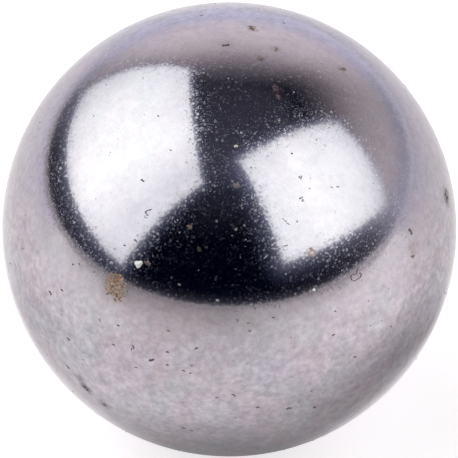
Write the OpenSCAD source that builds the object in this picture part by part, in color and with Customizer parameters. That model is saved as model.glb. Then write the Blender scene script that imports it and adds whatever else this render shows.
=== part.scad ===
// Steel ball: one solid sphere of hardened steel, lapped round all over,
// with no flat, seam, bore or stem. The origin is the centre of the ball, +Z up.

/* [Ball] */
// Diameter of the ball
ball_d = 19.05; // [3:0.05:60]

/* [Hidden] */

// Facets round a great circle where the ball is drawn as a mesh
ball_facets = 180;

// The whole ball, every point of its skin half the diameter from the origin
module ball() {
    color("silver")
        sphere(d = ball_d, $fn = ball_facets);
}

ball();
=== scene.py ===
import math

import bpy
import numpy as np
from mathutils import Matrix, Vector


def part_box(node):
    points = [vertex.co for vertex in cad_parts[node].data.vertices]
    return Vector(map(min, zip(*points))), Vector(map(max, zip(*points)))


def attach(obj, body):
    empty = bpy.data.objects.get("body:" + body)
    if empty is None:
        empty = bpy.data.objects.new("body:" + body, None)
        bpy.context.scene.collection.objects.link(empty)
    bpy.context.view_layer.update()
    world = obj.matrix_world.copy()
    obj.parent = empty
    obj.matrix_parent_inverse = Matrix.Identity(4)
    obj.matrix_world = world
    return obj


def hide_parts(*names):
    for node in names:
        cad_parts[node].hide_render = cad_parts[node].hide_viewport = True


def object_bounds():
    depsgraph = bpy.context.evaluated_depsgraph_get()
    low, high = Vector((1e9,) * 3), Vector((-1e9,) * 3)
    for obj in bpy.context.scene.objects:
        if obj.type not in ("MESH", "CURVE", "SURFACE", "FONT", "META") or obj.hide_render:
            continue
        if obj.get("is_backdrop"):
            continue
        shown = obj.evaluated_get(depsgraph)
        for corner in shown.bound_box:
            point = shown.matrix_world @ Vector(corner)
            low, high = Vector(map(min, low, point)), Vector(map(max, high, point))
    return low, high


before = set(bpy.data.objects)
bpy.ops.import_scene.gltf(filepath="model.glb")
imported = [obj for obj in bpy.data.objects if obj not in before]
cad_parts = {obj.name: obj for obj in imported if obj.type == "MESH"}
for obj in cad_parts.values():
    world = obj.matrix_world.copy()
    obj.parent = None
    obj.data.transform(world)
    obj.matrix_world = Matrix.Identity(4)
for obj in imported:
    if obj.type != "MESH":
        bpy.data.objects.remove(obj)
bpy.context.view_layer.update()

ball_low, ball_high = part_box("ball")
radius = (ball_high.z - ball_low.z) / 2

scene = bpy.context.scene
scene.view_settings.view_transform = "Standard"

# ---------------------------------------------------------------- camera
# A close-up lens on a stand, 14 ball radii off and looking 38 degrees down, so that the ball
# just fills the square frame.
def direction(azimuth, elevation):
    """Unit vector at an azimuth turned from +Y towards +X and an elevation above the table, in degrees."""
    turn, lift = math.radians(azimuth), math.radians(elevation)
    return Vector((math.sin(turn) * math.cos(lift), math.cos(turn) * math.cos(lift), math.sin(lift)))


lens_away = 14 * radius
lens_elevation = 38
outline_share = 0.9925
aim = Vector((-0.0013, -0.0035, 0.0044)) * radius
sensor_width = 36

eye = bpy.data.cameras.new("close_up_lens")
eye.sensor_width = sensor_width
outline_slope = math.tan(math.asin(radius / lens_away))
eye.lens = sensor_width / 2 * outline_share / outline_slope
eye.clip_start, eye.clip_end = 0.01, 5
eye.dof.use_dof = False
camera = bpy.data.objects.new("close_up_lens", eye)
scene.collection.objects.link(camera)
camera.location = direction(180, lens_elevation) * lens_away + aim
camera.rotation_euler = (aim - camera.location).to_track_quat("-Z", "Y").to_euler()
scene.camera = camera

# ---------------------------------------------------------------- ball
# The ball itself: one solid sphere of hardened steel, ground and lapped to a mirror all over.
# Handling and damp air have since clouded it faintly pink and green and pitted it with specks.
def cube_lattice(cells):
    """The whole-number points on a hollow cube with that many cells a side, each point once, and
    the cells as four point numbers, turning anticlockwise as seen from outside."""
    across, up = np.meshgrid(np.arange(cells + 1), np.arange(cells + 1), indexing="ij")
    patch_number = np.arange(across.size).reshape(across.shape)
    points, squares = [], []
    for axis in range(3):
        for side in (0, cells):
            patch = np.empty((cells + 1, cells + 1, 3), int)
            patch[..., axis] = side
            patch[..., (axis + 1) % 3] = across if side else up
            patch[..., (axis + 2) % 3] = up if side else across
            number = len(points) * across.size + patch_number
            corners = (number[:-1, :-1], number[1:, :-1], number[1:, 1:], number[:-1, 1:])
            squares.append(np.stack(corners, -1).reshape(-1, 4))
            points.append(patch.reshape(-1, 3))
    points, squares = np.concatenate(points), np.concatenate(squares)
    points, place = np.unique(points, axis=0, return_inverse=True)
    return points, place.reshape(-1)[squares]


def round_lattice(cells):
    """A cube lattice blown out to a ball of radius one: each point's place on its cube face is the
    tangent of an angle from -45 to 45 degrees, which keeps the cells alike, and is then made unit length."""
    points, squares = cube_lattice(cells)
    slopes = np.tan(np.pi / 4 * (2 * points / cells - 1))
    return slopes / np.linalg.norm(slopes, axis=1, keepdims=True), squares


def smooth_object(name, mesh):
    """A smooth object of this mesh, at the origin."""
    mesh.validate()
    mesh.shade_smooth()
    piece = bpy.data.objects.new(name, mesh)
    scene.collection.objects.link(piece)
    return piece


def mesh_object(name, points, faces):
    """A smooth object of these points and of faces that all have as many corners."""
    mesh = bpy.data.meshes.new(name)
    mesh.vertices.add(len(points))
    mesh.vertices.foreach_set("co", np.asarray(points, np.float32).ravel())
    mesh.loops.add(faces.size)
    mesh.loops.foreach_set("vertex_index", faces.astype(np.int32).ravel())
    mesh.polygons.add(len(faces))
    mesh.polygons.foreach_set("loop_start", np.arange(0, faces.size, faces.shape[1], dtype=np.int32))
    mesh.update(calc_edges=True)
    return smooth_object(name, mesh)


radius_mm = radius * 1000
skin_cells = 128

skin_points, squares = round_lattice(skin_cells)
ball = mesh_object("ball_skin", skin_points * radius, squares)


def add(tree, kind, inputs=(), **settings):
    """A new node of that kind with its properties set; inputs gives each socket a value or a link."""
    made = tree.nodes.new(kind if kind.startswith("Node") else "ShaderNode" + kind)
    for key, value in settings.items():
        setattr(made, key, value)
    for key, value in dict(inputs).items():
        if isinstance(value, bpy.types.NodeSocket):
            tree.links.new(value, made.inputs[key])
        else:
            made.inputs[key].default_value = value
    return made


def material(name):
    """An empty node material, its tree and its output node."""
    made = bpy.data.materials.new(name)
    made.use_nodes = True
    made.node_tree.nodes.clear()
    return made, made.node_tree, add(made.node_tree, "OutputMaterial")


def math_node(tree, operation, *values):
    """A Math node's output for these values or links."""
    return add(tree, "Math", dict(enumerate(values)), operation=operation).outputs[0]


def product(tree, value, *others):
    """Values or links multiplied together."""
    for other in others:
        value = math_node(tree, "MULTIPLY", value, other)
    return value


def vector_node(tree, operation, *values, result="Vector"):
    """A Vector Math node's output for these vectors or links."""
    return add(tree, "VectorMath", dict(enumerate(values)), operation=operation).outputs[result]


def scaled(tree, vector, times):
    """A vector made longer or shorter."""
    return add(tree, "VectorMath", {0: vector, "Scale": times}, operation="SCALE").outputs["Vector"]


def millimetres(tree):
    """The place on the piece in millimetres, from its Object coordinates in metres."""
    return scaled(tree, add(tree, "TexCoord").outputs["Object"], 1000)


def spread(tree, value, low, high, to_low=0, to_high=1):
    """A value carried from one range to another and held there."""
    given = {"Value": value, "From Min": low, "From Max": high, "To Min": to_low, "To Max": to_high}
    return add(tree, "MapRange", given).outputs[0]


def mixed(tree, share, first, second, **settings):
    """Two colours mixed by a share."""
    settings = {"data_type": "RGBA", **settings}
    return add(tree, "Mix", {0: share, 6: first, 7: second}, **settings).outputs[2]


def grey(tree, value):
    """A grey of this value."""
    return add(tree, "CombineColor", {"Red": value, "Green": value, "Blue": value}).outputs["Color"]


def noise(tree, place, per_mm, detail=0, roughness=0.5, result="Fac"):
    """Even noise with that many waves a millimetre."""
    given = {"Vector": place, "Scale": per_mm, "Detail": detail, "Roughness": roughness}
    return add(tree, "TexNoise", given).outputs[result]


def dots(tree, place, per_mm, share, smallest, largest):
    """Mask of round dots, one to a cell in a share of the cells, their radii as parts of a cell and their
    edges fading from 0.75 to 1.2 of the radius, and the random value of each cell."""
    cells = add(tree, "TexVoronoi", {"Vector": place, "Scale": per_mm}).outputs
    chance = add(tree, "SeparateColor", {"Color": cells["Color"]}).outputs
    reach = spread(tree, chance["Red"], 1 - share, 1, smallest, largest)
    reach = product(tree, reach, math_node(tree, "GREATER_THAN", chance["Red"], 1 - share))
    near = math_node(tree, "DIVIDE", cells["Distance"], math_node(tree, "MAXIMUM", reach, 0.001))
    return spread(tree, near, 1.2, 0.75), chance["Green"]


steel, tree, output = material("lapped_steel")
place = millimetres(tree)
axes = add(tree, "SeparateXYZ", {"Vector": place}).outputs
height = math_node(tree, "DIVIDE", axes["Z"], radius_mm)
wander_mm = 0.03
wander = scaled(tree, noise(tree, place, 9, 1, result="Color"), wander_mm)
ragged = vector_node(tree, "ADD", place, wander)

# Grains: rougher dots of skin that scatter what they mirror, in drifts, thickest on top and thinnest
# low on the front. Each row is dots a millimetre, share of the cells that hold one, least and
# greatest reach as parts of a cell, and the roughness of the smoothest and the dullest.
lapped = 0.075
grain_rows = [
    (11, 1, 0.3, 0.6, 0.11, 0.21), (6.5, 1, 0.2, 0.45, 0.12, 0.25), (4, 0.5, 0.12, 0.28, 0.14, 0.28),
    (2.2, 0.3, 0.07, 0.15, 0.2, 0.4)]
drifts = spread(tree, noise(tree, place, 1.1, 2), 0.3, 0.7, 0.8, 1.15)
on_top = spread(tree, height, 0.65, 0.9, 1, 1.12)
off_front = spread(tree, axes["Y"], -0.9 * radius_mm, -0.8 * radius_mm, 0.68, 1)
off_belt = spread(tree, height, 0.37, 0.5, 0.68, 1)
cloud = product(tree, drifts, on_top, math_node(tree, "MAXIMUM", off_front, off_belt))
rough = lapped
for per_mm, share, smallest, largest, smoothest, dullest in grain_rows:
    glints, glint_size = dots(tree, ragged, per_mm, share, smallest, largest)
    dullness = product(tree, spread(tree, glint_size, 0, 1, smoothest, dullest), cloud)
    rough = math_node(tree, "MAXIMUM", rough, product(tree, glints, dullness))

# Tarnish: slow colour drifts, blotches and a fine mottle, all weakest in the band over the belt,
# where the ball has rubbed clean, and stronger at its sides and high on its back, where smears run
# from front to back. The grains themselves are paler.
rosy, greenish, violet = (0.582, 0.480, 0.518, 1), (0.507, 0.512, 0.530, 1), (0.520, 0.486, 0.557, 1)
lilac, bare_steel, pale = (0.500, 0.480, 0.575, 1), (0.538, 0.494, 0.522, 1), (0.66, 0.65, 0.74, 1)
smear_ways = (3.2, 1, 1)
behind = product(tree, spread(tree, axes["Y"], 0, 0.5 * radius_mm), spread(tree, height, 0.1, 0.45))
beside = math_node(tree, "ABSOLUTE", axes["X"])
beside = spread(tree, beside, 0.7 * radius_mm, 0.9 * radius_mm, 0, 0.5)
clouded = spread(tree, height, 0.1, 0.4, 1.6, 0.55)
clouded = math_node(tree, "MULTIPLY_ADD", behind, 1.3, clouded)
clouded = math_node(tree, "ADD", clouded, beside)
drift = add(tree, "SeparateColor", {"Color": noise(tree, place, 0.42, 5, 0.7, "Color")}).outputs
smears = vector_node(tree, "MULTIPLY", place, smear_ways)
smears = add(tree, "SeparateColor", {"Color": noise(tree, smears, 1, 3, 0.6, "Color")}).outputs
drifted = mixed(tree, spread(tree, drift["Red"], 0.36, 0.64), rosy, greenish)
drifted = mixed(tree, spread(tree, drift["Green"], 0.36, 0.64, 0, 0.7), drifted, violet)
drifted = mixed(tree, product(tree, spread(tree, smears["Green"], 0.4, 0.6), behind), drifted, lilac)
tint = mixed(tree, spread(tree, clouded, 0, 1.6), bare_steel, drifted)
blotches = spread(tree, noise(tree, place, 1.6, 3, 0.7), 0.3, 0.7, -0.10, 0.09)
mottle = spread(tree, noise(tree, place, 4, 2, 0.6), 0.25, 0.75, -0.11, 0.09)
smeared = product(tree, spread(tree, smears["Red"], 0.3, 0.7, -0.12, 0.1), behind)
shade = product(tree, math_node(tree, "ADD", blotches, mottle), clouded)
shade = math_node(tree, "ADD", shade, math_node(tree, "ADD", smeared, 1))
colour = mixed(tree, 1, tint, grey(tree, shade), blend_type="MULTIPLY")
colour = mixed(tree, spread(tree, rough, 0.12, 0.42, 0, 0.65), colour, pale)

# Pits: pinholes and faint brown dots.
pit_brown = (0.10, 0.06, 0.07, 1)
pits, pit_depth = dots(tree, ragged, 2.1, 0.5, 0.05, 0.12)
fine_pits, _ = dots(tree, ragged, 5, 0.5, 0.08, 0.2)
loss = product(tree, pits, spread(tree, pit_depth, 0, 1, 0, 0.3))
loss = math_node(tree, "MAXIMUM", loss, product(tree, fine_pits, 0.07))
colour = mixed(tree, loss, colour, pit_brown)

# Stains, and dark patches low down: thin films at places on the ball, torn by noise, from rows of azimuth,
# elevation, reach in millimetres, strength and colour. The dark and brown rows low on the left and right
# (azimuths -145 to -139 and 137 to 150) and the bluish rows at the bottom (176 and -178) are those patches,
# which darken the ball low down.
spot_films = [
    (143, 71.2, 0.33, 0.75, (0.30, 0.14, 0.14, 1)), (145, 69, 0.33, 0.75, (0.30, 0.14, 0.14, 1)),
    (148, 65.5, 0.25, 0.6, (0.16, 0.18, 0.13, 1)), (100, 18, 0.55, 1, (0.06, 0.055, 0.06, 1)),
    (-150, 19.5, 0.85, 0.6, (0.36, 0.27, 0.20, 1)), (39, 81, 0.3, 0.8, (0.24, 0.17, 0.11, 1)),
    (157, 30, 0.3, 0.7, (0.45, 0.31, 0.24, 1)), (-140, -17, 0.42, 1, (0.08, 0.075, 0.08, 1)),
    (-139, -14, 0.4, 0.6, (0.10, 0.095, 0.10, 1)), (-145, -21, 0.45, 0.7, (0.14, 0.135, 0.14, 1)),
    (125, 19, 0.5, 0.4, (0.30, 0.22, 0.19, 1)), (-130, 89, 0.4, 0.4, (0.30, 0.23, 0.20, 1)),
    (150, -34, 0.7, 0.4, (0.26, 0.18, 0.17, 1)), (137, -20, 0.6, 0.3, (0.28, 0.20, 0.18, 1)),
    (20, -5, 0.5, 0.5, (0.26, 0.19, 0.15, 1)), (-60, 25, 0.35, 0.6, (0.32, 0.2, 0.13, 1)),
    (60, -20, 0.6, 0.4, (0.20, 0.19, 0.20, 1)), (-100, -10, 0.3, 0.6, (0.30, 0.22, 0.19, 1)),
    (10, 40, 0.3, 0.6, (0.22, 0.25, 0.18, 1)), (-20, 10, 0.25, 0.8, (0.40, 0.17, 0.16, 1)),
    (96, 78.4, 0.3, 0.5, (0.26, 0.20, 0.19, 1)), (128, 80.3, 0.25, 0.7, (0.28, 0.18, 0.13, 1)),
    (93, 61.4, 0.28, 0.6, (0.27, 0.18, 0.13, 1)), (176, -20, 1, 0.25, (0.42, 0.43, 0.53, 1)),
    (-178, -30, 1.2, 0.3, (0.38, 0.41, 0.46, 1))]
tear = 0.6
film_rough = 0.55
torn = scaled(tree, noise(tree, place, 3.5, 3, 0.7, "Color"), tear)
torn = vector_node(tree, "SUBTRACT", torn, (tear / 2, tear / 2, tear / 2))
torn = vector_node(tree, "ADD", place, torn)
patchy = spread(tree, noise(tree, place, 9, 2, 0.6), 0.35, 0.6, 0.45, 1)
film = 0.0
for azimuth, elevation, reach, strength, dye in spot_films:
    middle = direction(azimuth, elevation) * radius_mm
    near = vector_node(tree, "DISTANCE", torn, middle, result="Value")
    mask = product(tree, spread(tree, near, reach, 0.3 * reach, 0, strength), patchy)
    colour = mixed(tree, mask, colour, dye)
    film = math_node(tree, "MAXIMUM", film, mask)
rough = math_node(tree, "MAXIMUM", rough, product(tree, film, film_rough))

# Lean: the skin leans a little every way, and most where it is rough.
lean = vector_node(tree, "SUBTRACT", noise(tree, place, 8, 1, result="Color"), (0.5, 0.5, 0.5))
lean = scaled(tree, lean, spread(tree, rough, 0.08, 0.3, 0.012, 0.25))
upright = add(tree, "NewGeometry").outputs["Normal"]
facing = vector_node(tree, "NORMALIZE", vector_node(tree, "ADD", upright, lean))

surface = add(tree, "BsdfPrincipled", {
    "Base Color": colour, "Metallic": 1, "Roughness": rough, "Normal": facing})
tree.links.new(surface.outputs[0], output.inputs["Surface"])
ball.data.materials.append(steel)
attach(ball, "root")
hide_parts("ball")

# ---------------------------------------------------------------- rust crust
# One crumbly patch of rust and dried grime on the lower left of the front. It has grown out of the
# steel and stands a few hundredths of a millimetre proud, with a broken edge.
def skin_axes(azimuths, elevations):
    """Unit rows outwards, eastwards (towards larger azimuth) and northwards at places on the ball."""
    turn, lift = np.radians(azimuths), np.radians(elevations)
    outward = np.stack((np.sin(turn) * np.cos(lift), np.cos(turn) * np.cos(lift), np.sin(lift)), -1)
    eastward = np.stack((np.cos(turn), -np.sin(turn), np.zeros_like(turn)), -1)
    return outward, eastward, np.cross(eastward, outward)


def rubble(east, north, coarsest, layers, seed):
    """Broken height about zero: six sine waves along random ways in each layer, and each layer
    1.7 times finer and 0.68 times as high as the one before."""
    chance = np.random.default_rng(seed)
    height = np.zeros_like(east)
    for layer in range(layers):
        ways = chance.normal(0, coarsest * 1.7 ** layer, (2, 6))
        start = chance.uniform(0, 2 * np.pi, 6)
        waves = np.sin(east[..., None] * ways[0] + north[..., None] * ways[1] + start)
        height += 0.68 ** layer * waves.sum(-1) / 3
    return height


def crust(name, azimuth, elevation, wide, high, slant, thick, rings, seed):
    """A closed crust on the skin, all in millimetres: rings of points spread from the middle to an oval
    rim, with the top at its thickness times (1.1 - 1.5 x share of the way out, squared) plus rubble, and
    a flat underside inside the steel. Where the top falls under the skin the steel shows."""
    spokes = 2 * rings
    share = np.linspace(0, 1, rings + 1)[1:, None]
    angle = np.linspace(0, 2 * np.pi, spokes, endpoint=False)[None]
    across, along = share * np.cos(angle) * wide / 2, share * np.sin(angle) * high / 2
    lean = math.radians(slant)
    east = np.append(0, across * math.cos(lean) - along * math.sin(lean))
    north = np.append(0, across * math.sin(lean) + along * math.cos(lean))
    out = np.append(0, np.broadcast_to(share, across.shape))
    top = thick * (1.1 - 1.5 * out ** 2 + 0.5 * rubble(east, north, 10, 5, seed))
    top = np.maximum(top, -0.6 * thick)
    outward, eastward, northward = skin_axes(azimuth, elevation)
    plate = east[:, None] * eastward + north[:, None] * northward + radius_mm * outward
    spread_out = plate / np.linalg.norm(plate, axis=1, keepdims=True)
    points = np.concatenate((spread_out * (radius_mm + top[:, None]),
                             outward[None] * (radius_mm - 1.5 * thick)))
    ring = 1 + np.arange(rings * spokes).reshape(rings, spokes)
    after = np.roll(ring, -1, axis=1)
    sides = np.stack((ring[:-1], after[:-1], after[1:], ring[1:]), -1).reshape(-1, 4)
    hub = np.zeros(spokes, int)
    cap = np.stack((hub, ring[0], after[0]), -1)
    base = np.stack((ring[-1], hub + len(points) - 1, after[-1]), -1)
    faces = [*sides[:, ::-1].tolist(), *cap[:, ::-1].tolist(), *base[:, ::-1].tolist()]
    mesh = bpy.data.meshes.new(name)
    mesh.from_pydata(points / 1000, [], faces)
    return smooth_object(name, mesh)


rust = crust("rust_crust", azimuth=-149.8, elevation=19.7, wide=1.02, high=1.32, slant=-30, thick=0.04,
             rings=70, seed=4)

# Grit: the mottled colour and small bumps of everything that has settled on the steel.
grit = bpy.data.node_groups.new("grit", "ShaderNodeTree")
for name, kind in (("Place", "Vector"), ("Per mm", "Float"), ("Dark", "Color"), ("Pale", "Color")):
    grit.interface.new_socket(name, in_out="INPUT", socket_type="NodeSocket" + kind)
for name, kind in (("Colour", "Color"), ("Height", "Float")):
    grit.interface.new_socket(name, in_out="OUTPUT", socket_type="NodeSocket" + kind)
given = add(grit, "NodeGroupInput").outputs
speckle = noise(grit, given["Place"], given["Per mm"], 3, 0.7)
colour = mixed(grit, spread(grit, speckle, 0.35, 0.62), given["Dark"], given["Pale"])
put = add(grit, "NodeGroupOutput")
grit.links.new(colour, put.inputs["Colour"])
grit.links.new(speckle, put.inputs["Height"])


def gritty(tree, place, per_mm, dark, pale, bump):
    """Colour and normal of the grit group for one material, its bumps that many millimetres deep."""
    given = {"Place": place, "Per mm": per_mm, "Dark": dark, "Pale": pale}
    mottled = add(tree, "Group", given, node_tree=grit).outputs
    bumps = {"Height": mottled["Height"], "Strength": 1, "Distance": bump / 1000}
    return mottled["Colour"], add(tree, "Bump", bumps).outputs["Normal"]


def matt(made, tree, output, colour, normal, roughness):
    """The material, given a dull Principled surface of that colour and normal."""
    surface = add(tree, "BsdfPrincipled", {"Base Color": colour, "Roughness": roughness, "Normal": normal})
    tree.links.new(surface.outputs[0], output.inputs["Surface"])
    return made


dark_rust, pale_rust, orange_heart = (0.085, 0.042, 0.03, 1), (0.52, 0.39, 0.305, 1), (0.21, 0.095, 0.042, 1)
flaky, tree, output = material("flaky_rust")
place = millimetres(tree)
colour, normal = gritty(tree, place, 12, dark_rust, pale_rust, 0.014)
heart = direction(-149.5, 21.5) * radius_mm
near = vector_node(tree, "DISTANCE", place, heart, result="Value")
colour = mixed(tree, spread(tree, near, 0.3, 0.1, 0, 0.8), colour, orange_heart)
rust.data.materials.append(matt(flaky, tree, output, colour, normal, 0.85))
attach(rust, "root")

# ---------------------------------------------------------------- dust grains
# Pale grains of grit and lint dust stuck to the oily skin: some fifteen large enough to see one by
# one, and a scatter of fine ones all round the ball.
def lumps(name, cells, spots, tints, seed):
    """Small lumpy crumbs on the ball as one mesh, from rows of azimuth and elevation in degrees; length,
    width and height in millimetres; twist in degrees; and number of corners. Each is a ball of radius
    one, swollen and pinched by three random sine waves and by a cosine of its corners, stretched to
    size, twisted about the upright, and sunk two fifths of its height into the skin."""
    spots = np.asarray(spots, float)
    ways, squares = round_lattice(cells)
    chance = np.random.default_rng(seed)
    waves = chance.normal(0, 2.4, (len(spots), 3, 3))
    starts = chance.uniform(0, 2 * np.pi, (len(spots), 3, 1))
    swell = 1 + 0.13 * np.sin(waves @ ways.T + starts).sum(1)
    corners = spots[:, 6:7]
    swell += 0.2 * (corners > 0) * np.cos(corners * np.arctan2(ways[:, 1], ways[:, 0]))
    shape = ways * swell[..., None] * spots[:, None, 2:5] / 2
    twist = np.radians(spots[:, 5:6])
    east = shape[..., 0] * np.cos(twist) - shape[..., 1] * np.sin(twist)
    north = shape[..., 0] * np.sin(twist) + shape[..., 1] * np.cos(twist)
    above = radius_mm + 0.1 * spots[:, 4:5] + shape[..., 2]
    outward, eastward, northward = (axis[:, None] for axis in skin_axes(spots[:, 0], spots[:, 1]))
    points = above[..., None] * outward + east[..., None] * eastward + north[..., None] * northward
    faces = squares + np.arange(len(spots))[:, None, None] * len(ways)
    piece = mesh_object(name, points.reshape(-1, 3) / 1000, faces.reshape(-1, 4))
    paint = np.ones((len(spots), len(ways), 4))
    paint[..., :3] = np.asarray(tints, float)[:, None]
    layer = piece.data.color_attributes.new(name="tint", type="FLOAT_COLOR", domain="POINT")
    layer.data.foreach_set("color", paint.ravel())
    return piece


def scatter(count, smallest, largest, seed):
    """Random rows for lumps, evenly over the ball above 60 degrees below its belt, small ones commonest:
    the size is the smallest plus the range times a random number cubed."""
    chance = np.random.default_rng(seed)
    azimuths = chance.uniform(-180, 180, count)
    elevations = np.degrees(np.arcsin(chance.uniform(-0.87, 1, count)))
    length = smallest + (largest - smallest) * chance.uniform(0, 1, count) ** 3
    width, height = length * chance.uniform(0.6, 1, count), length * chance.uniform(0.35, 0.6, count)
    return np.column_stack((azimuths, elevations, length, width, height, chance.uniform(0, 180, count),
                            np.zeros(count)))


white, straw, beige = (0.95, 0.95, 0.92), (0.70, 0.66, 0.50), (0.17, 0.147, 0.149)
pink, moss, ash = (0.14, 0.09, 0.075), (0.015, 0.016, 0.014), (0.30, 0.31, 0.35)

# Rows of azimuth, elevation, length, width and height in millimetres, twist, corners and colour.
named_grains = [
    (-155.2, 26.8, 0.3, 0.27, 0.15, -105, 3, white), (-157.8, 27.6, 0.26, 0.15, 0.08, 10, 5, pink),
    (-177, 21, 0.13, 0.11, 0.07, 0, 0, ash), (-168, 38, 0.2, 0.16, 0.08, 30, 0, pink),
    (177, 58, 0.17, 0.09, 0.06, -10, 0, straw), (177.4, 48.4, 0.26, 0.22, 0.07, 40, 4, beige),
    (178, 38, 0.12, 0.11, 0.06, 0, 0, beige), (-167, 24, 0.11, 0.09, 0.06, 0, 0, beige),
    (170, 31, 0.2, 0.06, 0.04, 145, 0, ash), (-171.5, 33, 0.2, 0.15, 0.03, 60, 5, moss),
    (-173.5, 33.6, 0.13, 0.1, 0.03, 0, 0, moss), (-166, 62, 0.2, 0.13, 0.09, -30, 0, ash),
    (158, 21, 0.15, 0.11, 0.07, 20, 0, white), (153, 27, 0.14, 0.1, 0.07, 0, 0, ash),
    (-171, 47, 0.13, 0.12, 0.07, 0, 0, ash), (172, 44, 0.13, 0.1, 0.06, 0, 0, beige)]
grains = lumps("dust_grains", 6, [row[:7] for row in named_grains], [row[7] for row in named_grains], 11)
fine_count = 300
fine_tints = np.random.default_rng(13).uniform(0.2, 0.55, (fine_count, 1)) * np.array((0.97, 1, 1.08))
fine_grains = lumps("fine_dust", 2, scatter(fine_count, 0.03, 0.09, 12), fine_tints, 14)


def tinted_grit(name, per_mm, dark, pale, bump, roughness):
    """A matt material of grit multiplied by each lump's own tint."""
    made, tree, output = material(name)
    own = add(tree, "Attribute", attribute_name="tint").outputs["Color"]
    shade, normal = gritty(tree, millimetres(tree), per_mm, dark, pale, bump)
    colour = mixed(tree, 1, own, shade, blend_type="MULTIPLY")
    return matt(made, tree, output, colour, normal, roughness)


powder = tinted_grit("pale_dust", 14, (0.62, 0.60, 0.58, 1), (1, 1, 1, 1), 0.012, 0.75)
for piece in (grains, fine_grains):
    piece.data.materials.append(powder)
    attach(piece, "root")

# ---------------------------------------------------------------- dark crumbs
# Brown-black crumbs of rust, scale and dried oil, stuck on or just breaking out of the skin: some
# sixty-five large enough to see one by one, each a huddle of three lumps, and a finer peppering all
# round the ball.
black, brown, ruddy, faint = (0.11, 0.09, 0.10), (0.19, 0.13, 0.10), (0.22, 0.12, 0.11), (0.40, 0.36, 0.38)

# Rows of azimuth, elevation, length and width in millimetres, twist and colour.
named_crumbs = [
    (-161, 3, 0.24, 0.18, -20, black), (-156.3, 5.2, 0.17, 0.12, 60, brown),
    (-156, 4.6, 0.2, 0.1, 120, brown),
    (-152, 10, 0.12, 0.1, 0, black), (-151, 4, 0.14, 0.11, 30, black), (-151.8, 16.7, 0.16, 0.12, 0, brown),
    (-148, 17, 0.13, 0.12, 0, brown), (-130, 9, 0.17, 0.14, 0, black), (-134, 12, 0.12, 0.1, 0, black),
    (-136, 20, 0.1, 0.09, 0, black), (-138, 21, 0.11, 0.08, 20, black), (-143, 21, 0.13, 0.09, 0, ruddy),
    (-137, -1, 0.15, 0.12, 0, black), (-135, -12, 0.18, 0.1, 30, black), (-145, -21, 0.18, 0.1, 20, black),
    (-165, 2, 0.12, 0.1, 0, black), (-169, 1, 0.13, 0.08, 0, ruddy), (-171, 3, 0.12, 0.08, 0, ruddy),
    (-172, 8, 0.13, 0.1, 0, black), (-165, 6, 0.12, 0.09, 0, brown), (-165, 12, 0.1, 0.09, 0, ruddy),
    (-170.6, 0.6, 0.09, 0.08, 0, black), (-157, -1, 0.11, 0.08, 0, black), (179, -6, 0.17, 0.12, 10, brown),
    (173, -11, 0.14, 0.11, 0, black), (165, -13, 0.2, 0.13, -10, brown), (158, -15, 0.12, 0.1, 0, black),
    (175, 13, 0.12, 0.1, 0, brown), (175.4, 15, 0.1, 0.08, 0, ruddy), (178, 16, 0.11, 0.08, 0, black),
    (169, 16, 0.11, 0.08, 0, black), (-177, -7, 0.12, 0.08, 0, brown), (-168, -21, 0.16, 0.1, 0, black),
    (-170, -22, 0.14, 0.09, 0, brown), (148, -1, 0.15, 0.12, 0, brown), (154, 8, 0.13, 0.1, 0, ruddy),
    (153, 14, 0.09, 0.08, 0, brown), (124, 23, 0.26, 0.17, 60, brown), (126, 17, 0.2, 0.12, 20, brown),
    (156, 43, 0.19, 0.15, 40, faint), (154, 48, 0.17, 0.14, 0, faint), (142.3, 42.7, 0.13, 0.09, 20, faint),
    (144.5, 43.2, 0.09, 0.08, 0, faint), (157, 31, 0.12, 0.09, 0, ruddy), (132, 56, 0.1, 0.08, 0, faint),
    (141, 55, 0.09, 0.07, 0, faint), (-149, 46, 0.15, 0.12, 0, black), (-168, 53, 0.13, 0.11, 0, faint),
    (-163, 53, 0.12, 0.08, 0, faint), (-155, 55, 0.1, 0.07, 0, faint), (-141, 62, 0.1, 0.08, 0, black),
    (-153, 32, 0.13, 0.11, 0, ruddy), (-150, 30, 0.09, 0.08, 0, black), (-112, 67, 0.11, 0.07, 0, faint),
    (-153.5, 69, 0.19, 0.14, 30, ruddy), (-100, 58, 0.12, 0.08, 0, faint), (39, 81, 0.22, 0.17, 10, brown),
    (33, 80.4, 0.12, 0.1, 0, black), (-150, 88.5, 0.3, 0.16, 120, black), (92, 61, 0.24, 0.16, 30, brown),
    (46, 71, 0.1, 0.08, 0, black), (-24, 73, 0.12, 0.09, 0, brown), (-90, 56, 0.12, 0.08, 0, faint),
    (177.3, 48, 0.1, 0.08, 0, black), (128, 80.3, 0.18, 0.14, 20, brown), (96, 78.4, 0.24, 0.1, 10, ruddy)]


def huddles(rows, seed):
    """Three lesser lumps for each crumb: a middle one, and one out along its length at each end, off the
    line by a random part of its width."""
    chance = np.random.default_rng(seed)
    spots = []
    for azimuth, elevation, length, width, twist, _ in rows:
        for share in (-0.34, 0, 0.34):
            along, across = share * length, chance.uniform(-0.35, 0.35) * width
            turn = math.radians(twist)
            east = (along * math.cos(turn) - across * math.sin(turn)) / radius_mm
            north = (along * math.sin(turn) + across * math.cos(turn)) / radius_mm
            east /= math.cos(math.radians(elevation))
            size = chance.uniform(0.3, 0.55)
            spots.append((azimuth + math.degrees(east), elevation + math.degrees(north), size * length,
                          chance.uniform(0.4, 0.7) * width, 0.3 * width, twist + chance.uniform(-40, 40), 0))
    return spots


crumb_tints = np.repeat([row[5] for row in named_crumbs], 3, 0)
crumbs = lumps("dark_crumbs", 4, huddles(named_crumbs, 25), crumb_tints, 21)
pepper_count = 160
pepper_tints = np.random.default_rng(23).uniform(0.15, 0.4, (pepper_count, 1)) * np.array((1.1, 0.85, 0.8))
pepper = lumps("fine_crumbs", 2, scatter(pepper_count, 0.03, 0.085, 22), pepper_tints, 24)

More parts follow.
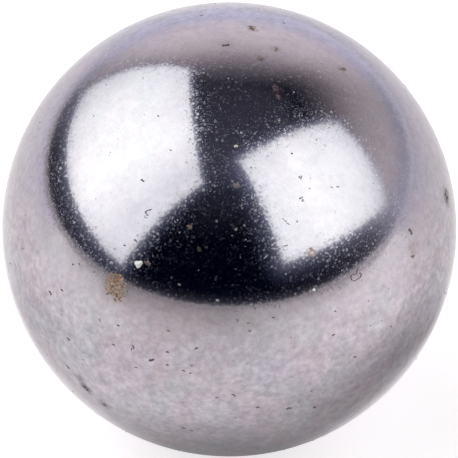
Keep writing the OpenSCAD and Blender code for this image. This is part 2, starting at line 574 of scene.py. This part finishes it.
scale = tinted_grit("dark_scale", 16, (0.5, 0.48, 0.46, 1), (1.25, 1.2, 1.15, 1), 0.01, 0.7)
for piece in (crumbs, pepper):
    piece.data.materials.append(scale)
    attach(piece, "root")

# ---------------------------------------------------------------- lint
# A few short curled fibres of household lint, thinner than a hair, that cling to the oily skin: one
# is a small loop, and the rest are hooks, curls and short bows.
def fibre(azimuth, elevation, bends, thickness, steps):
    """Points and faces of one fibre: a smooth path through its bends, each an east and north distance in
    millimetres, laid on the ball and swept by a five-sided ring. The path between two bends is the cubic
    through them whose slopes are half the step between their neighbours; the ring's radius swells
    and narrows along it by two sine waves and closes to a point at both ends."""
    bends = np.asarray(bends, float)
    ends = np.concatenate((2 * bends[:1] - bends[1:2], bends, 2 * bends[-1:] - bends[-2:-1]))
    along = np.linspace(0, len(bends) - 1, steps)
    piece_number = np.minimum(along.astype(int), len(bends) - 2)
    t = (along - piece_number)[:, None]
    before, start, stop, after = (ends[piece_number + shift] for shift in range(4))
    path = start + t * (stop - before) / 2 + t ** 2 * (before - 2.5 * start + 2 * stop - after / 2)
    path += t ** 3 * (1.5 * (start - stop) + (after - before) / 2)
    outward, eastward, northward = skin_axes(azimuth, elevation)
    line = radius_mm * outward + path[:, :1] * eastward + path[:, 1:] * northward
    upright = line / np.linalg.norm(line, axis=1, keepdims=True)
    line = upright * (radius_mm + 0.4 * thickness)
    ahead = np.gradient(line, axis=0)
    sideways = np.cross(ahead, upright)
    sideways /= np.linalg.norm(sideways, axis=1, keepdims=True)
    share = np.linspace(0, 1, steps)
    girth = thickness / 2 * (1 + 0.3 * np.sin(17 * share) + 0.2 * np.sin(41 * share + 1))
    girth *= np.minimum(1, np.minimum(share, 1 - share) * 12)
    turn = np.linspace(0, 2 * np.pi, 5, endpoint=False)[None, :, None]
    around = np.cos(turn) * sideways[:, None] + np.sin(turn) * upright[:, None]
    rings = line[:, None] + girth[:, None, None] * around
    points = np.concatenate((line[:1], rings[1:-1].reshape(-1, 3), line[-1:])) / 1000
    ring = 1 + np.arange((steps - 2) * 5).reshape(steps - 2, 5)
    next_round = np.roll(ring, -1, axis=1)
    tube = np.stack((ring[:-1], ring[1:], next_round[1:], next_round[:-1]), -1).reshape(-1, 4)
    first, last = np.zeros(5, int), np.full(5, len(points) - 1)
    caps = [*np.stack((first, ring[0], next_round[0]), -1), *np.stack((ring[-1], last, next_round[-1]), -1)]
    return points, [*tube.tolist(), *(cap.tolist() for cap in caps)]


loop = [(-0.34, 0.33), (-0.2, 0.26), (-0.14, 0.18), (-0.09, 0.07), (0.02, 0.07), (0.11, 0.11), (0.2, 0.02),
        (0.17, -0.12), (0.08, -0.18), (-0.1, -0.16), (-0.25, -0.12), (-0.3, -0.02), (-0.25, 0.04),
        (-0.16, 0.03)]
hook = [(-0.17, 0.05), (-0.06, -0.02), (0.05, -0.11), (0.03, -0.17), (-0.06, -0.22), (-0.09, -0.24)]
curl = [(-0.08, -0.3), (-0.04, -0.35), (0.02, -0.34), (0.04, -0.3), (0.01, -0.26)]
ess = [(0.1, 0.07), (0.04, 0.05), (0.02, -0.02), (-0.05, -0.05), (-0.06, -0.13), (-0.12, -0.17),
       (-0.18, -0.24)]
bow = [(0.08, 0.02), (0.01, -0.01), (-0.1, 0.02)]
barb = [(0, 0), (0.06, 0.09), (0.03, 0.16)]

# Rows of azimuth, elevation, bends, thickness in millimetres and steps.
threads = [
    (146, 21, loop, 0.028, 120),
    (-154, 40, hook, 0.04, 50), (-154, 40, curl, 0.02, 30), (163, 39, ess, 0.022, 44),
    (164, 33, bow, 0.035, 16), (-147, 9, barb, 0.02, 16), (60, 30, loop, 0.028, 90),
    (-60, 10, ess, 0.03, 44), (10, 40, hook, 0.03, 50), (-20, -10, ess[::-1], 0.026, 44)]
points, faces = [], []
for thread in threads:
    new_points, new_faces = fibre(*thread)
    count = sum(len(part) for part in points)
    faces += [[count + corner for corner in face] for face in new_faces]
    points.append(new_points)
mesh = bpy.data.meshes.new("lint")
mesh.from_pydata(np.concatenate(points), [], faces)
lint = smooth_object("lint", mesh)
fluff, tree, output = material("dusty_fibre")
colour, normal = gritty(tree, millimetres(tree), 18, (0.07, 0.05, 0.05, 1), (0.18, 0.13, 0.13, 1), 0.006)
lint.data.materials.append(matt(fluff, tree, output, colour, normal, 0.8))
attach(lint, "root")

# ---------------------------------------------------------------- table
# A plain white table top, a little glossy, that the ball lies on. It is lifted to white alike for
# the camera, mirrors and glass, and keeps the ball's shadow.
table_side, table_front, table_back = 0.6, -0.6, 0.2
table_paint, white_lift = (0.61, 0.593, 0.602, 1), (1, 0.975, 0.99, 1)
lift_strength = 0.65
one_face = np.array([[0, 1, 2, 3]])


def table_sheet(name, height):
    """A level four-sided sheet as large as the table, at a height."""
    corners = [(-table_side, table_front, height), (table_side, table_front, height),
               (table_side, table_back, height), (-table_side, table_back, height)]
    return mesh_object(name, corners, one_face)


def looked_at(tree):
    """1 for what the camera, a mirror or glass looks at, and 0 for what only lights the scene."""
    rays = add(tree, "LightPath").outputs
    seen = math_node(tree, "MAXIMUM", rays["Is Camera Ray"], rays["Is Glossy Ray"])
    return math_node(tree, "MAXIMUM", seen, rays["Is Transmission Ray"])


table = table_sheet("table_top", -radius)
white, tree, output = material("white_table")
surface = add(tree, "BsdfPrincipled", {
    "Base Color": table_paint, "Roughness": 0.45, "Emission Color": white_lift,
    "Emission Strength": product(tree, looked_at(tree), lift_strength)})
tree.links.new(surface.outputs[0], output.inputs["Surface"])
table.data.materials.append(white)
table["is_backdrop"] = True

# ---------------------------------------------------------------- softboxes
# Two small softboxes light the table, one behind the ball to the left and one to the right. What
# the ball mirrors is each one's cloth, brightest where its tube shines and dimmer to the edges.
def unlit(piece):
    """Leaves a stage piece to be seen in mirrors alone: it casts no shadow and lights nothing."""
    piece.visible_camera = False
    piece.visible_diffuse = False
    piece.visible_shadow = False
    piece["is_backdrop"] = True


def ramp(tree, value, stops):
    """A colour ramp over (place, colour) stops; a colour may be one grey value."""
    made = add(tree, "ValToRGB", {"Fac": value})
    elements = made.color_ramp.elements
    for place, _ in stops[1:-1]:
        elements.new(place)
    for element, (place, colour) in zip(elements, stops):
        element.position = place
        element.color = (*(colour if isinstance(colour, tuple) else (colour,) * 3), 1)
    return made.outputs["Color"]


def panel(name, middle, wide, high, places, layer_name):
    """A flat four-sided panel whose corners lie at these places, counted in its two directions from the
    middle, with the places kept as a UV map."""
    corners = np.array(middle) + places[:, :1] * np.array(wide) + places[:, 1:] * np.array(high)
    made = mesh_object(name, corners, one_face)
    layer = made.data.uv_layers.new(name=layer_name)
    layer.uv.foreach_set("vector", places.astype(np.float32).ravel())
    return made


four_corners = np.array([(-0.5, -0.5), (0.5, -0.5), (0.5, 0.5), (-0.5, 0.5)])
bloom_reach = 0.3
just_behind = 1.02
bloom_fade = [
    (0, (0.38, 0.40, 0.52)), (0.06, (0.25, 0.27, 0.37)), (0.18, (0.125, 0.14, 0.2)),
    (0.3, (0.048, 0.058, 0.092)), (0.45, (0.022, 0.025, 0.048)), (0.6, (0.008, 0.009, 0.018)),
    (0.75, 0), (1, 0)]


def halo(name, middle, wide, high, width, height):
    """The faint blue bloom that the cloth casts on the dark round it, by distance from its edge, on a
    panel just behind it."""
    places = four_corners * (width + 2 * bloom_reach, height + 2 * bloom_reach)
    bloom = panel(name + "_bloom", middle * just_behind, wide, high, places, "bloom")
    haze, tree, output = material(name + "_bloom")
    place = vector_node(tree, "ABSOLUTE", add(tree, "UVMap", uv_map="bloom").outputs["UV"])
    past = vector_node(tree, "SUBTRACT", place, (width / 2, height / 2, 0))
    past = vector_node(tree, "MAXIMUM", past, (0, 0, 0))
    away = vector_node(tree, "LENGTH", past, result="Value")
    light = add(tree, "Emission", {"Color": ramp(tree, spread(tree, away, 0, bloom_reach), bloom_fade)})
    both = add(tree, "AddShader", {0: light.outputs[0], 1: add(tree, "BsdfTransparent").outputs[0]})
    tree.links.new(both.outputs[0], output.inputs["Surface"])
    bloom.data.materials.append(haze)
    unlit(bloom)


cloth_glow = 2.15
cloth_colour, dim_colour = (0.935, 1, 0.97, 1), (0.90, 0.965, 1, 1)
lamp_watts = 6.5


def softbox(name, away, azimuth, elevation, face_azimuth, face_elevation, roll, width, height,
            dim_side, dim_share, across, up):
    """A glowing cloth panel and the lamp behind it, at a distance and direction from the ball. Its
    width and height are shares of the distance. Two ramps give its glow across and upwards, and the
    lower corner on the dim side (1 right, -1 left) falls to a share of it."""
    middle = direction(azimuth, elevation) * away
    facing = direction(face_azimuth, face_elevation)
    level = Vector((0, 0, 1)).cross(facing).normalized()
    turn = Matrix.Rotation(math.radians(roll), 3, facing)
    wide, high = turn @ level, turn @ facing.cross(level)
    cloth = panel(name + "_cloth", middle, wide * away, high * away, four_corners * (width, height), "cloth")
    glow, tree, output = material(name + "_glow")
    place = add(tree, "UVMap", uv_map="cloth").outputs["UV"]
    place = vector_node(tree, "MULTIPLY_ADD", place, (1 / width, 1 / height, 0), (0.5, 0.5, 0))
    place = add(tree, "SeparateXYZ", {"Vector": place}).outputs
    tube = mixed(tree, 1, ramp(tree, place["X"], across), ramp(tree, place["Y"], up), blend_type="MULTIPLY")
    worn = mixed(tree, spread(tree, tube, 0.6, 0.95), dim_colour, cloth_colour)
    tube = mixed(tree, 1, tube, worn, blend_type="MULTIPLY")
    corner = math_node(tree, "MULTIPLY_ADD", place["X"], dim_side, 0.5 - 0.5 * dim_side)
    corner = spread(tree, math_node(tree, "SUBTRACT", corner, place["Y"]), 0.3, 0.95, 1, dim_share)
    light = add(tree, "Emission", {"Color": tube, "Strength": product(tree, corner, cloth_glow)})
    tree.links.new(light.outputs[0], output.inputs["Surface"])
    cloth.data.materials.append(glow)
    unlit(cloth)
    halo(name, middle, wide * away, high * away, width, height)
    lamp = bpy.data.lights.new(name, "AREA")
    lamp.shape, lamp.size, lamp.size_y = "RECTANGLE", width * away, height * away
    lamp.energy = lamp_watts * lamp.size * lamp.size_y
    bulb = bpy.data.objects.new(name, lamp)
    scene.collection.objects.link(bulb)
    axes = Matrix((wide, -high, -facing)).transposed()
    bulb.matrix_world = Matrix.Translation(middle) @ axes.to_4x4()
    bulb.visible_camera = False
    bulb.visible_glossy = False


softbox(
    "left_softbox", away=0.36, azimuth=-70.7, elevation=48.2, face_azimuth=84, face_elevation=-25.4,
    roll=5.6, width=1.755, height=1.195, dim_side=1, dim_share=0.72,
    across=[
        (0, 0.58), (0.05, 0.71), (0.12, 0.7), (0.2, 0.81), (0.28, 0.87), (0.35, 0.96), (0.42, 0.94),
        (0.5, 0.895), (0.58, 0.865), (0.65, 0.865), (0.72, 0.84), (0.8, 0.78), (0.88, 0.78),
        (0.95, 0.71), (1, 0.56)],
    up=[
        (0, 0.72), (0.05, 0.92), (0.12, 1), (0.5, 1), (0.58, 0.98), (0.8, 0.935), (0.88, 0.9),
        (0.93, 0.9), (1, 0.82)])
softbox(
    "right_softbox", away=0.37, azimuth=100.4, elevation=40.8, face_azimuth=-40.4, face_elevation=-32.8,
    roll=1.9, width=1.31, height=0.945, dim_side=-1, dim_share=0.8,
    across=[
        (0, 0.42), (0.04, 0.58), (0.1, 0.68), (0.2, 0.76), (0.28, 0.815), (0.35, 0.83), (0.5, 0.865),
        (0.6, 0.885), (0.65, 0.925), (0.73, 0.925), (0.79, 0.86), (0.88, 0.85), (0.95, 0.81), (1, 0.6)],
    up=[
        (0, 0.7), (0.05, 0.93), (0.12, 0.985), (0.5, 1), (0.65, 0.98), (0.8, 0.92), (0.88, 0.9),
        (0.95, 0.76), (1, 0.55)])

# ---------------------------------------------------------------- painted table shade
# Painted shadow and light on the table as the ball mirrors it: deepest in the ball's own shadow to its
# right, and dimmer behind the ball and far in front, where the softboxes reach less. A clear sheet just over
# the table carries this painted shade, seen only in mirrors.
shade_height = 0.0002
painted_far_blue = (0.9, 0.9, 1, 1)

sheet = table_sheet("painted_table_shadow", shade_height - radius)
clear, tree, output = material("painted_shadow_sheet")
place = scaled(tree, millimetres(tree), 1 / radius_mm)
axes = add(tree, "SeparateXYZ", {"Vector": place}).outputs


def oval(tree, place, middle, stretch=(1, 1)):
    """Distance over the table from a middle, in ball radii, with X and Y each multiplied by a stretch."""
    reach = vector_node(tree, "SUBTRACT", place, (*middle, -1))
    reach = vector_node(tree, "MULTIPLY", reach, (*stretch, 0))
    return vector_node(tree, "LENGTH", reach, result="Value")


# Painted shade: the ball's shadow on the right, its foot, the dim front and the dim middle.
shadow = spread(tree, oval(tree, place, (0.85, -0.43), (0.75, 1.25)), 0.45, 1.45, 0.45, 0.82)
gap = spread(tree, oval(tree, place, (0.75, 0.1)), 0.3, 0.8, 0.78, 0.38)
foot = spread(tree, oval(tree, place, (-0.1, -0.58)), 0.2, 0.65, 0.68, 1)
front = spread(tree, axes["Y"], -10, -2.8, 0.69, 1)
side = math_node(tree, "ABSOLUTE", math_node(tree, "ADD", axes["X"], 0.4))
middle = spread(tree, side, 1.4, 3, 0.9, 1)
dim = product(tree, math_node(tree, "MAXIMUM", shadow, gap), foot, front, middle)

# Painted light and shade: the fall behind the ball, the pale wings at its sides, the slope from left to
# right,
# and the pale table beyond: each adds to or takes from the whole by a share.
open_side = product(tree, spread(tree, axes["X"], -3.4, -1.6, 0.2, 1),
                    spread(tree, axes["X"], 3.2, 4.5, 1, 0.3))
open_side = math_node(tree, "MAXIMUM", open_side, spread(tree, axes["Y"], 0, 0.8))
fall = product(tree, open_side, spread(tree, axes["Y"], -0.9, 0.4, 0, -0.18))
wing = spread(tree, oval(tree, place, (0, 1.55), (0.69, 0.5)), 0.98, 1.14, 0.45, 0)
wing = product(tree, wing, spread(tree, axes["Y"], 0.3, 1.1, 1, 0.1),
               spread(tree, math_node(tree, "ABSOLUTE", axes["X"]), 0.25, 0.6))
slope = product(tree, spread(tree, axes["X"], -6, 6, -0.14, 0.14), spread(tree, axes["Y"], -5, 1.5, 1, -0.3))
beyond = product(tree, spread(tree, side, 0.5, 2.8, 0.4, 0.05), spread(tree, axes["Y"], 0.1, 0.9),
                 spread(tree, axes["Y"], 1.5, 3, 1, 0.6))
for change in (fall, wing, slope, beyond):
    dim = product(tree, dim, math_node(tree, "ADD", change, 1))
# A painted blue cast on the far table behind the ball, mixed into the painted shade.
far = spread(tree, vector_node(tree, "LENGTH", place, result="Value"), 3, 20)
far = product(tree, far, spread(tree, axes["Y"], 0, 3))
tint = mixed(tree, far, grey(tree, dim), painted_far_blue, blend_type="MULTIPLY")
see_through = add(tree, "BsdfTransparent", {"Color": tint})
tree.links.new(see_through.outputs[0], output.inputs["Surface"])
sheet.data.materials.append(clear)
unlit(sheet)

# ---------------------------------------------------------------- room
# The dark room, with its pale sweep behind the table and its grey ceiling, as one far shell seen only in
# mirrors, its lit look painted in as glow. The sweep leans up where it narrows to the sides, and a painted
# glow runs low round the rest at the table's far edge.
shell_away = 2.0
shell_cells = 16
painted_edge_glow = (0.92, 0.89, 0.91, 1)

shell_points, squares = round_lattice(shell_cells)
room = mesh_object("room_shell", shell_points * shell_away, squares)
walls, tree, output = material("painted_room_glow")
way = vector_node(tree, "NORMALIZE", add(tree, "TexCoord").outputs["Object"])
axes = add(tree, "SeparateXYZ", {"Vector": way}).outputs
lift = math_node(tree, "DEGREES", math_node(tree, "ARCSINE", axes["Z"]))
turn = math_node(tree, "DEGREES", math_node(tree, "ARCTAN2", axes["X"], axes["Y"]))


def angle_ramp(tree, angle, low, high, stops):
    """A colour ramp over (degrees, colour) stops, for an angle from low to high in degrees."""
    shares = [((degrees - low) / (high - low), colour) for degrees, colour in stops]
    return ramp(tree, spread(tree, angle, low, high), shares)


sweep_round = angle_ramp(tree, turn, -180, 180, [
    (-180, 0), (-130, 0), (-60, 0.03), (-42, 0.2), (-30, 0.64), (-22, 0.88), (-10, 1), (10, 1), (25, 0.9),
    (36, 0.65), (45, 0.55), (65, 0.61), (80, 0.65), (92, 0.36), (105, 0.1), (120, 0.03), (135, 0.01),
    (160, 0), (180, 0)])
lean = product(tree, spread(tree, sweep_round, 0, 1, 1.5, 0), spread(tree, lift, 4, 19, 0, 15))
sweep = angle_ramp(tree, math_node(tree, "ADD", lift, lean), 0, 90, [
    (0, (0.79, 0.79, 0.93)), (4, (0.77, 0.775, 0.95)), (9, (0.80, 0.795, 0.94)), (15, (0.90, 0.86, 0.92)),
    (20, (0.95, 0.90, 0.94)), (28, (0.91, 0.86, 0.90)), (35, (0.785, 0.73, 0.765)),
    (40, (0.645, 0.60, 0.625)), (45, (0.47, 0.425, 0.455)), (50, (0.29, 0.265, 0.285)),
    (56, (0.13, 0.12, 0.13)), (64, 0)])
ceiling = angle_ramp(tree, lift, 0, 90, [
    (0, (0.05, 0.055, 0.075)), (3, (0.016, 0.019, 0.032)), (6, (0.001, 0.002, 0.01)),
    (12, (0, 0.0003, 0.007)), (32, (0.0004, 0.0007, 0.008)), (44, (0.01, 0.011, 0.022)),
    (56, (0.025, 0.028, 0.05)), (65, (0.07, 0.074, 0.11)), (90, (0.07, 0.074, 0.11))])
front = grey(tree, spread(tree, axes["Y"], -0.45, 0.35, 1, 0.58))
dark = mixed(tree, 1, ceiling, front, blend_type="MULTIPLY")
lit = mixed(tree, 1, sweep, sweep_round, blend_type="MULTIPLY")
both = mixed(tree, 1, lit, dark, blend_type="ADD")

# A painted glow for the table's far edge, low round the rest of the room.
low = math_node(tree, "SUBTRACT", lift, spread(tree, axes["X"], 0.5, 0.8, -0.15, 0.75))
low = product(tree, low, spread(tree, axes["Y"], 0, 0.8, 1, 0.3))
edge = product(tree, spread(tree, low, -0.7, 1, 1, 0), spread(tree, sweep_round, 0.1, 0.9, 1, 0),
               spread(tree, axes["Y"], -0.9, -0.2, 0.5, 0.6))
both = mixed(tree, edge, both, painted_edge_glow, blend_type="ADD")
light = add(tree, "Emission", {"Color": both})
tree.links.new(light.outputs[0], output.inputs["Surface"])
walls.cycles.emission_sampling = "NONE"
room.data.materials.append(walls)
unlit(room)

# ---------------------------------------------------------------- air
# The air round the stage: white wherever the camera, a mirror or glass looks past the stage, and a
# faint even fill on matt things.
fill = 0.05

air = bpy.data.worlds.new("white_air")
scene.world = air
air.use_nodes = True
tree = air.node_tree
tree.nodes.clear()
strength = spread(tree, looked_at(tree), 0, 1, fill, 1)
sky = add(tree, "Background", {"Color": (1, 1, 1, 1), "Strength": strength})
tree.links.new(sky.outputs[0], add(tree, "OutputWorld").inputs["Surface"])

# ---------------------------------------------------------------- sizes
low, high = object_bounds()
